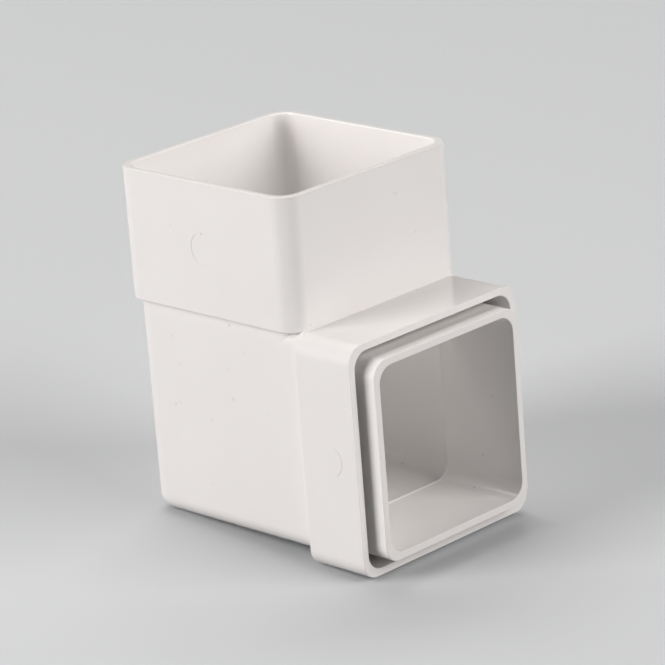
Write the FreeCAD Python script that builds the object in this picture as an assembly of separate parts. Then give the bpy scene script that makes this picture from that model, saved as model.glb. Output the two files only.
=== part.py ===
"""Right-angle bend for a square rainwater downpipe, moulded in one piece.

Sizes in millimetres. +Z runs up the axis of the upper socket and the outlet faces -Y.
The origin is on the socket's axis, on the ledge where the end of the downpipe stops.
"""
import FreeCAD, Part
import math
import os

# Square downpipe that enters the socket and slides over the spigot
pipe_size = 65.0
pipe_wall = 1.8
pipe_corner = 4.75

# Moulding rules, the same for the whole bend
wall = 2.25
core_draft = 0.2
edge_round = 0.2

# Upper socket
socket_clearance = 0.25
socket_depth = 38.1
mouth_round = 0.5

# Outlet: a spigot that stands inside a collar, with a groove between them for the pipe's wall
collar_clearance = 0.45
spigot_clearance = 0.15
groove_depth = 19.25
spigot_lead = 4.85
outlet_corner = 5.2
collar_drop = 0.25
collar_setback = 0.6

# Body between the socket and the outlet; the outer corner is the socket's too
outer_corner = 6.0
limb_corner = 5.0
shoulder_step = 1.63
foot_step = 3.41

# Low lip that the moulding's two cores leave where the outlet opens into the bore
lip_height = 0.3
lip_round = 1.5

# Round witness marks of the mould on the left-hand faces, sunk on the socket and proud on the collar
mark_diameter = 10.0
mark_depth = 0.1
mark_height = 0.1

# Widths that follow from the pipe and the walls
socket_bore = pipe_size + 2 * socket_clearance
socket_outer = socket_bore + 2 * wall
socket_bore_corner = pipe_corner + socket_clearance
body_outer = socket_outer - 2 * shoulder_step
body_bore = body_outer - 2 * wall
body_bore_corner = outer_corner - wall
collar_bore = pipe_size + 2 * collar_clearance
collar_outer = collar_bore + 2 * wall
collar_bore_corner = pipe_corner + collar_clearance
spigot_outer = pipe_size - 2 * pipe_wall - 2 * spigot_clearance
spigot_bore = spigot_outer - 2 * wall

# Levels along the socket's axis, and distances in front of it
shoulder_z = -wall
outlet_z = shoulder_z - collar_drop - collar_outer / 2
body_bottom_z = outlet_z - collar_outer / 2 + foot_step
bore_floor_z = body_bottom_z + wall
body_top_z = shoulder_z / 2
socket_front = socket_outer / 2
collar_rear = socket_front - collar_setback
groove_floor = collar_rear + wall
collar_front = groove_floor + groove_depth
spigot_front = collar_front + spigot_lead

# How far a cutting or joining block runs past the face that it has to clear
overrun = wall
flat_tolerance = 1e-4


def draft_gain(length):
    """Change in the full width of a tapered core over a length."""
    return 2 * length * math.tan(math.radians(core_draft))


def edges_at(shape, axis, value):
    """Edges of a shape that lie wholly in the plane where one coordinate has the value."""
    return [edge for edge in shape.Edges
            if abs(getattr(edge.BoundBox, axis + "Min") - value) < flat_tolerance
            and abs(getattr(edge.BoundBox, axis + "Max") - value) < flat_tolerance]


def reach(edge):
    """Greatest distance of an edge's ends from the socket's axis, measured along X or along Y."""
    return max(max(abs(vertex.X), abs(vertex.Y)) for vertex in edge.Vertexes)


def rounded_block(start_size, end_size, length, corner):
    """Square block along +Z from 0 that tapers evenly from one width to the other, with its long edges rounded."""
    start = start_size / 2
    end = end_size / 2
    block = Part.makeWedge(-start, 0, -start, -end, -end, start, length, start, end, end)
    block.rotate(FreeCAD.Vector(), FreeCAD.Vector(1, 0, 0), 90)
    long_edges = [edge for edge in block.Edges
                  if abs(edge.Vertexes[0].Z - edge.Vertexes[1].Z) > length / 2]
    return block.makeFillet(corner, long_edges)


def raised(block, height):
    """The block moved up the socket's axis."""
    block.translate(FreeCAD.Vector(0, 0, height))
    return block


def to_outlet(block, distance):
    """The block laid along the outlet's axis, starting at a distance in front of the socket's axis."""
    block.rotate(FreeCAD.Vector(), FreeCAD.Vector(1, 0, 0), 90)
    block.translate(FreeCAD.Vector(0, -distance, outlet_z))
    return block


# Socket, a plain square cup whose lower edge is the shoulder
socket = rounded_block(socket_outer, socket_outer, wall + socket_depth, outer_corner)
socket = socket.makeFillet(edge_round, edges_at(socket, "Z", 0))
socket = raised(socket, shoulder_z)

# Vertical limb under the socket
upright = raised(rounded_block(body_outer, body_outer, body_top_z - outlet_z, outer_corner), outlet_z)

# Horizontal limb, flush with the socket's front wall: its heel has the upright's corners, its long edges a smaller round
limb = Part.makeBox(body_outer, socket_front + body_outer / 2, body_top_z - body_bottom_z,
                    FreeCAD.Vector(-body_outer / 2, -socket_front, body_bottom_z))
heel = [edge for edge in edges_at(limb, "Y", body_outer / 2)
        if abs(edge.Vertexes[0].Z - edge.Vertexes[1].Z) > flat_tolerance]
limb = limb.makeFillet(outer_corner, heel)
limb_ends = edges_at(limb, "Y", -socket_front)
limb_edges = [edge for edge in edges_at(limb, "Z", body_bottom_z) + edges_at(limb, "Z", body_top_z)
              if not any(edge.isSame(end) for end in limb_ends)]
limb = limb.makeFillet(limb_corner, limb_edges)

# Collar, still solid
collar = rounded_block(collar_outer, collar_outer, collar_front - collar_rear, outlet_corner)
collar = collar.makeFillet(edge_round, edges_at(collar, "Z", 0))
collar = to_outlet(collar, collar_rear)

outside = socket.multiFuse([upright, limb, collar]).removeSplitter()

# Groove floor to collar front, opened out before the spigot goes in
groove_length = groove_depth + overrun
groove = to_outlet(rounded_block(collar_bore, collar_bore + draft_gain(groove_length),
                                 groove_length, collar_bore_corner), groove_floor)

# Spigot, thicker at its root
spigot_length = spigot_front - collar_rear
spigot = to_outlet(rounded_block(spigot_outer + draft_gain(spigot_length), spigot_outer,
                                 spigot_length, outlet_corner), collar_rear)

# Core of the socket, wider at the mouth
socket_core_length = socket_depth + overrun
socket_core = rounded_block(socket_bore, socket_bore + draft_gain(socket_core_length),
                            socket_core_length, socket_bore_corner)

# Core of the vertical bore, rounded up its corners and round its floor but for the edge under the outlet
bore_core = Part.makeBox(body_bore, body_bore, overrun - bore_floor_z,
                         FreeCAD.Vector(-body_bore / 2, -body_bore / 2, bore_floor_z))
bore_ends = edges_at(bore_core, "Z", overrun) + edges_at(bore_core, "Z", bore_floor_z)
bore_uprights = [edge for edge in bore_core.Edges
                 if not any(edge.isSame(end) for end in bore_ends)]
bore_foot = [edge for edge in edges_at(bore_core, "Z", bore_floor_z)
             if not any(edge.isSame(front) for front in edges_at(bore_core, "Y", -body_bore / 2))]
bore_core = bore_core.makeFillet(body_bore_corner, bore_uprights + bore_foot)

# Core of the outlet, whose rounded inner end leaves the lip where it meets the other core
lip_reach = lip_round - math.sqrt(lip_round ** 2 - (lip_round - lip_height) ** 2)
tunnel_start = body_bore / 2 - lip_reach
tunnel_core = rounded_block(spigot_bore - draft_gain(spigot_front - tunnel_start),
                            spigot_bore + draft_gain(overrun),
                            spigot_front + overrun - tunnel_start, outlet_corner)
tunnel_core = tunnel_core.makeFillet(lip_round, edges_at(tunnel_core, "Z", 0))
tunnel_core = to_outlet(tunnel_core, tunnel_start)

bend = outside.cut(groove).fuse(spigot).cut(socket_core.multiFuse([bore_core, tunnel_core])).removeSplitter()

# The socket's mouth is rounded inside so that the pipe enters, and the other edges of the rims are only just broken
rim = edges_at(bend, "Z", socket_depth)
mouth = [edge for edge in rim if reach(edge) < socket_outer / 2 - flat_tolerance]
bend = bend.makeFillet(mouth_round, mouth)
rim = edges_at(bend, "Z", socket_depth)
sharp = ([edge for edge in rim if reach(edge) > socket_outer / 2 - flat_tolerance]
         + edges_at(bend, "Y", -collar_front)
         + edges_at(bend, "Y", -spigot_front))
bend = bend.makeFillet(edge_round, sharp)

# Witness marks at the middle of the socket's left face and of the collar's left face
inwards = FreeCAD.Vector(1, 0, 0)
sunk_mark = Part.makeCylinder(mark_diameter / 2, mark_depth + overrun,
                              FreeCAD.Vector(-socket_outer / 2 - overrun, 0, (shoulder_z + socket_depth) / 2),
                              inwards)
proud_mark = Part.makeCylinder(mark_diameter / 2, mark_height + wall / 2,
                               FreeCAD.Vector(-collar_outer / 2 - mark_height,
                                              -(collar_rear + collar_front) / 2, outlet_z),
                               inwards)
bend = bend.cut(sunk_mark).fuse(proud_mark)

os.makedirs("parts", exist_ok=True)
bend.exportStep("parts/bend.step")
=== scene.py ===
import math
import bpy
import numpy as np
from mathutils import Matrix

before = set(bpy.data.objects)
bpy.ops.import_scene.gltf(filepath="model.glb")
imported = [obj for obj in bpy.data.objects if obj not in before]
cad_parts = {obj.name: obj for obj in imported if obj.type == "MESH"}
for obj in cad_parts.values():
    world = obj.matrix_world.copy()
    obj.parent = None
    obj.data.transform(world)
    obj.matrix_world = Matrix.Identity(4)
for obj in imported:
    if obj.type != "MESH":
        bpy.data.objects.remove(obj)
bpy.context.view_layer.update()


# The bend is one injection moulding in white PVC-U. Its skin copies the polished mould, so it has a soft
# gloss with a very slight ripple, and the white is a little warm. A few specks and faint scuffs from
# handling lie on its left, front and inner sides, and a painted shadow darkens the upper edge of the
# sunk mould mark on the socket's left side.
pvc_white = (0.915, 0.902, 0.892)
pvc_shade = (0.903, 0.889, 0.878)
speck_and_shadow_brown = (0.20, 0.17, 0.14)

# Parts of a noise's range over which the melt turns paler and the skin duller
melt_range = (0.30, 0.72)
handling_range = (0.35, 0.80)

# Roughness of the polished skin, and what handling and the specks, scuffs and painted shadow add to it
polished_roughness = 0.20
handling_roughness = 0.06
dirt_and_shadow_roughness = 0.15

# Heights of the skin's relief in metres
ripple_height = 0.00002
grain_height = 0.0000012

# Specks, then scuffs with one painted shadow among them: centre and radius in metres, and the share of
# brown at the middle. The middle reaches over this part of the radius before the mark fades.
mark_middle = 0.4
marks_and_shadow = (
    ((-0.0334, -0.0065, -0.0045), 0.00055, 0.28),
    ((-0.0285, -0.0350, -0.0008), 0.00045, 0.24),
    ((0.0155, -0.0354, -0.0024), 0.00045, 0.35),
    ((0.0296, -0.0106, -0.0665), 0.00040, 0.46),
    ((0.0248, -0.0445, -0.0656), 0.00045, 0.48),
    ((0.0282, -0.0456, -0.0562), 0.00035, 0.40),
    ((0.0283, -0.0510, -0.0364), 0.00040, 0.28),
    # Painted shadow: darkens the upper edge of the sunk mould mark on the socket's left side, where the
    # recess's top wall shades it.
    ((-0.0350, 0.0004, 0.0226), 0.00060, 0.22),
    ((-0.0350, 0.0131, 0.0233), 0.00060, 0.09),
    ((0.0100, -0.0350, 0.0283), 0.00060, 0.12),
    ((0.0172, -0.0350, 0.0147), 0.00060, 0.09),
    ((-0.0334, 0.0184, -0.0120), 0.00090, 0.08),
    ((-0.0334, 0.0164, -0.0207), 0.00080, 0.05),
    ((-0.0334, -0.0115, -0.0122), 0.00070, 0.07),
    ((-0.0334, -0.0041, -0.0185), 0.00070, 0.07),
    ((-0.0334, 0.0194, -0.0335), 0.00090, 0.10),
    ((-0.0334, 0.0174, -0.0327), 0.00070, 0.08),
    ((-0.0334, -0.0055, -0.0275), 0.00080, 0.12),
    ((-0.0334, 0.0047, -0.0360), 0.00080, 0.07),
    ((-0.0334, -0.0194, -0.0291), 0.00070, 0.05),
    ((-0.0334, 0.0063, -0.0561), 0.00070, 0.07),
)


class Wire:
    """One output of a shader node. Python's operators on it add Math nodes to the same tree."""

    def __init__(self, tree, output=None):
        self.tree = tree
        self.output = output

    def make(self, kind, settings, sockets, take=0):
        """Adds a node, sets it, fills its sockets with values or wires, and gives the output to take."""
        node = self.tree.nodes.new("ShaderNode" + kind)
        for name, value in settings.items():
            setattr(node, name, value)
        for key, value in sockets.items():
            if isinstance(value, Wire):
                self.tree.links.new(value.output, node.inputs[key])
            else:
                node.inputs[key].default_value = value
        return Wire(self.tree, node.outputs[take] if node.outputs else None)

    def math(self, operation, first, second):
        """A Math node on two values or wires."""
        return self.make("Math", {"operation": operation}, {0: first, 1: second})

    def __add__(self, other):
        return self.math("ADD", self, other)

    def __radd__(self, other):
        return self.math("ADD", other, self)

    def __mul__(self, other):
        return self.math("MULTIPLY", self, other)

    def __rmul__(self, other):
        return self.math("MULTIPLY", other, self)

    def larger(self, other):
        """The larger of this and another value or wire."""
        return self.math("MAXIMUM", self, other)

    def fade(self, low, high):
        """Rises smoothly from 0 at low to 1 at high, or falls if low is the larger."""
        return self.make("MapRange", {"interpolation_type": "SMOOTHSTEP"},
                         {"Value": self, "From Min": low, "From Max": high})

    def blend(self, first, second):
        """The first colour where this is 0 and the second where it is 1."""
        return self.make("Mix", {"data_type": "RGBA"}, {0: self, 6: first, 7: second}, 2)


def moulded_pvc(name):
    """White moulded plastic: mottled colour, specks and scuffs, a painted shadow, patchy gloss and a faint
    ripple.
    """
    material = bpy.data.materials.new(name)
    material.use_nodes = True
    tree = material.node_tree
    tree.nodes.clear()
    start = Wire(tree)
    place = start.make("TexCoord", {}, {}, "Object")

    # Slow mottling of the melt
    melt = start.make("TexNoise", {}, {"Vector": place, "Scale": 38.0, "Detail": 2.0, "Roughness": 0.5})
    colour = melt.fade(*melt_range).blend((*pvc_shade, 1.0), (*pvc_white, 1.0))

    # Specks and scuffs at their places, and the painted shadow at the sunk mark's upper edge
    dirt_and_shadow = 0.0
    for centre, radius, share in marks_and_shadow:
        reach = start.make("VectorMath", {"operation": "DISTANCE"}, {0: place, 1: centre}, "Value")
        dirt_and_shadow = (reach.fade(radius, radius * mark_middle) * share).larger(dirt_and_shadow)
    # Brown of the specks and scuffs; at the sunk mark's upper edge the same brown is painted shadow.
    colour = dirt_and_shadow.blend(colour, (*speck_and_shadow_brown, 1.0))

    # Gloss: polished skin, dulled in soft patches and at the specks, scuffs and painted shadow
    handling = start.make("TexNoise", {}, {"Vector": place, "Scale": 120.0, "Detail": 4.0, "Roughness": 0.6})
    gloss = (polished_roughness + handling.fade(*handling_range) * handling_roughness
             + dirt_and_shadow * dirt_and_shadow_roughness)

    # Skin: long ripple of the shrinking wall, and a fine grain
    ripple = start.make("TexNoise", {}, {"Vector": place, "Scale": 70.0, "Detail": 1.0})
    grain = start.make("TexNoise", {}, {"Vector": place, "Scale": 2600.0, "Detail": 2.0})
    height = ripple * ripple_height + grain * grain_height
    skin = start.make("Bump", {}, {"Strength": 0.6, "Distance": 1.0, "Height": height})

    surface = start.make("BsdfPrincipled", {},
                         {"Base Color": colour, "Roughness": gloss, "IOR": 1.53, "Normal": skin})
    start.make("OutputMaterial", {}, {"Surface": surface})
    return material


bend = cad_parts["bend"]
bend.data.materials.clear()
bend.data.materials.append(moulded_pvc("pvc_white"))


# The floor is a plain pale sheet. The bend stands on the rear edge of its collar and the round of its
# heel, so the floor lies along the line under those two, which leans a little to the bend's own frame.
floor_lean = math.radians(3.093)
floor_drop = 0.07093
floor_reach = 6.0
floor_steps = 9
floor_pale = (0.62, 0.645, 0.66)
floor_grey = (0.24, 0.248, 0.253)


def level_sheet(reach, drop, lean, steps):
    """Square grid about the origin, with its points on the leaning plane."""
    ticks = np.linspace(-reach, reach, steps)
    across, along = np.meshgrid(ticks, ticks)
    height = along * math.tan(lean) - drop / math.cos(lean)
    points = np.stack([across, along, height], axis=-1).reshape(-1, 3)
    corner = np.arange(steps * steps).reshape(steps, steps)
    faces = np.stack([corner[:-1, :-1], corner[:-1, 1:], corner[1:, 1:], corner[1:, :-1]], axis=-1)
    mesh = bpy.data.meshes.new("floor")
    mesh.from_pydata(points.tolist(), [], faces.reshape(-1, 4).tolist())
    return mesh


def pale_floor(name):
    """Matt sheet that looks pale, and throws back less light from below than it shows."""
    material = bpy.data.materials.new(name)
    material.use_nodes = True
    tree = material.node_tree
    tree.nodes.clear()
    start = Wire(tree)
    seen = start.make("LightPath", {}, {}, "Is Camera Ray")
    mirrored = start.make("LightPath", {}, {}, "Is Glossy Ray")
    colour = seen.larger(mirrored).blend((*floor_grey, 1.0), (*floor_pale, 1.0))
    surface = start.make("BsdfPrincipled", {},
                         {"Base Color": colour, "Roughness": 0.75, "Specular IOR Level": 0.15})
    start.make("OutputMaterial", {}, {"Surface": surface})
    return material


floor = bpy.data.objects.new("floor", level_sheet(floor_reach, floor_drop, floor_lean, floor_steps))
floor.data.materials.append(pale_floor("floor_sheet"))
bpy.context.scene.collection.objects.link(floor)


# Soft studio light: three large soft boxes round the bend, and a dim even room that fills the far side.
# Each box has an azimuth and elevation in degrees, a distance, width and tallness in metres, and watts.
middle = np.array([0.0, -0.013, -0.017])
soft_boxes = (
    ("left_box", -112.0, 22.0, 2.4, 1.2, 2.6, 65.5),
    ("right_box", 18.0, 25.0, 2.4, 1.9, 1.6, 45.5),
    ("back_box", 148.0, 56.0, 2.4, 2.4, 1.0, 29.5),
)
lamp_warmth = (1.0, 0.964, 0.946)
room_colour = (0.80, 0.81, 0.82, 1.0)
room_level = 0.03


def outwards_at(azimuth, elevation):
    """Direction from the bend to a place at an azimuth and elevation in radians."""
    return np.array([math.sin(azimuth) * math.cos(elevation),
                     -math.cos(azimuth) * math.cos(elevation),
                     math.sin(elevation)])


def placed(position, right, up, back):
    """Matrix of a lamp or camera at a position, looking against its back direction."""
    turned = Matrix(np.stack([right, up, back], axis=1).tolist()).to_4x4()
    return Matrix.Translation(position.tolist()) @ turned


for name, azimuth, elevation, distance, width, tallness, power in soft_boxes:
    turn = math.radians(azimuth)
    outwards = outwards_at(turn, math.radians(elevation))
    sideways = np.array([math.cos(turn), math.sin(turn), 0.0])
    upwards = np.cross(outwards, sideways)
    lamp = bpy.data.lights.new(name, "AREA")
    lamp.shape = "RECTANGLE"
    lamp.size = width
    lamp.size_y = tallness
    lamp.energy = power
    lamp.color = lamp_warmth
    holder = bpy.data.objects.new(name, lamp)
    holder.matrix_world = placed(middle + outwards * distance, sideways, upwards, outwards)
    bpy.context.scene.collection.objects.link(holder)

room = bpy.data.worlds.new("room")
room.use_nodes = True
room.node_tree.nodes["Background"].inputs["Color"].default_value = room_colour
room.node_tree.nodes["Background"].inputs["Strength"].default_value = room_level
bpy.context.scene.world = room


# The camera stands at the photograph's place, a little above the bend and before its front left corner.
# Its measures were fitted to pixels counted by their centres, half a pixel in from their edges.
view_azimuth = math.radians(-44.646)
view_elevation = math.radians(18.356)
view_roll = math.radians(-4.491)
view_distance = 1.106198
view_target = np.array([-0.014784, -0.029975, -0.008078])
view_focal_pixels = 3833.991
image_pixels = 665.0
half_pixel = 0.5 / image_pixels

back = outwards_at(view_azimuth, view_elevation)
level_right = np.array([math.cos(view_azimuth), math.sin(view_azimuth), 0.0])
level_up = np.cross(back, level_right)
right = math.cos(view_roll) * level_right + math.sin(view_roll) * level_up
up = math.cos(view_roll) * level_up - math.sin(view_roll) * level_right
camera = bpy.data.cameras.new("camera")
camera.sensor_width = 36.0
camera.lens = view_focal_pixels * camera.sensor_width / image_pixels
camera.shift_x = -half_pixel
camera.shift_y = half_pixel
viewer = bpy.data.objects.new("camera", camera)
viewer.matrix_world = placed(view_target + back * view_distance, right, up, back)
bpy.context.scene.collection.objects.link(viewer)
bpy.context.scene.camera = viewer
bpy.context.scene.view_settings.view_transform = "Standard"
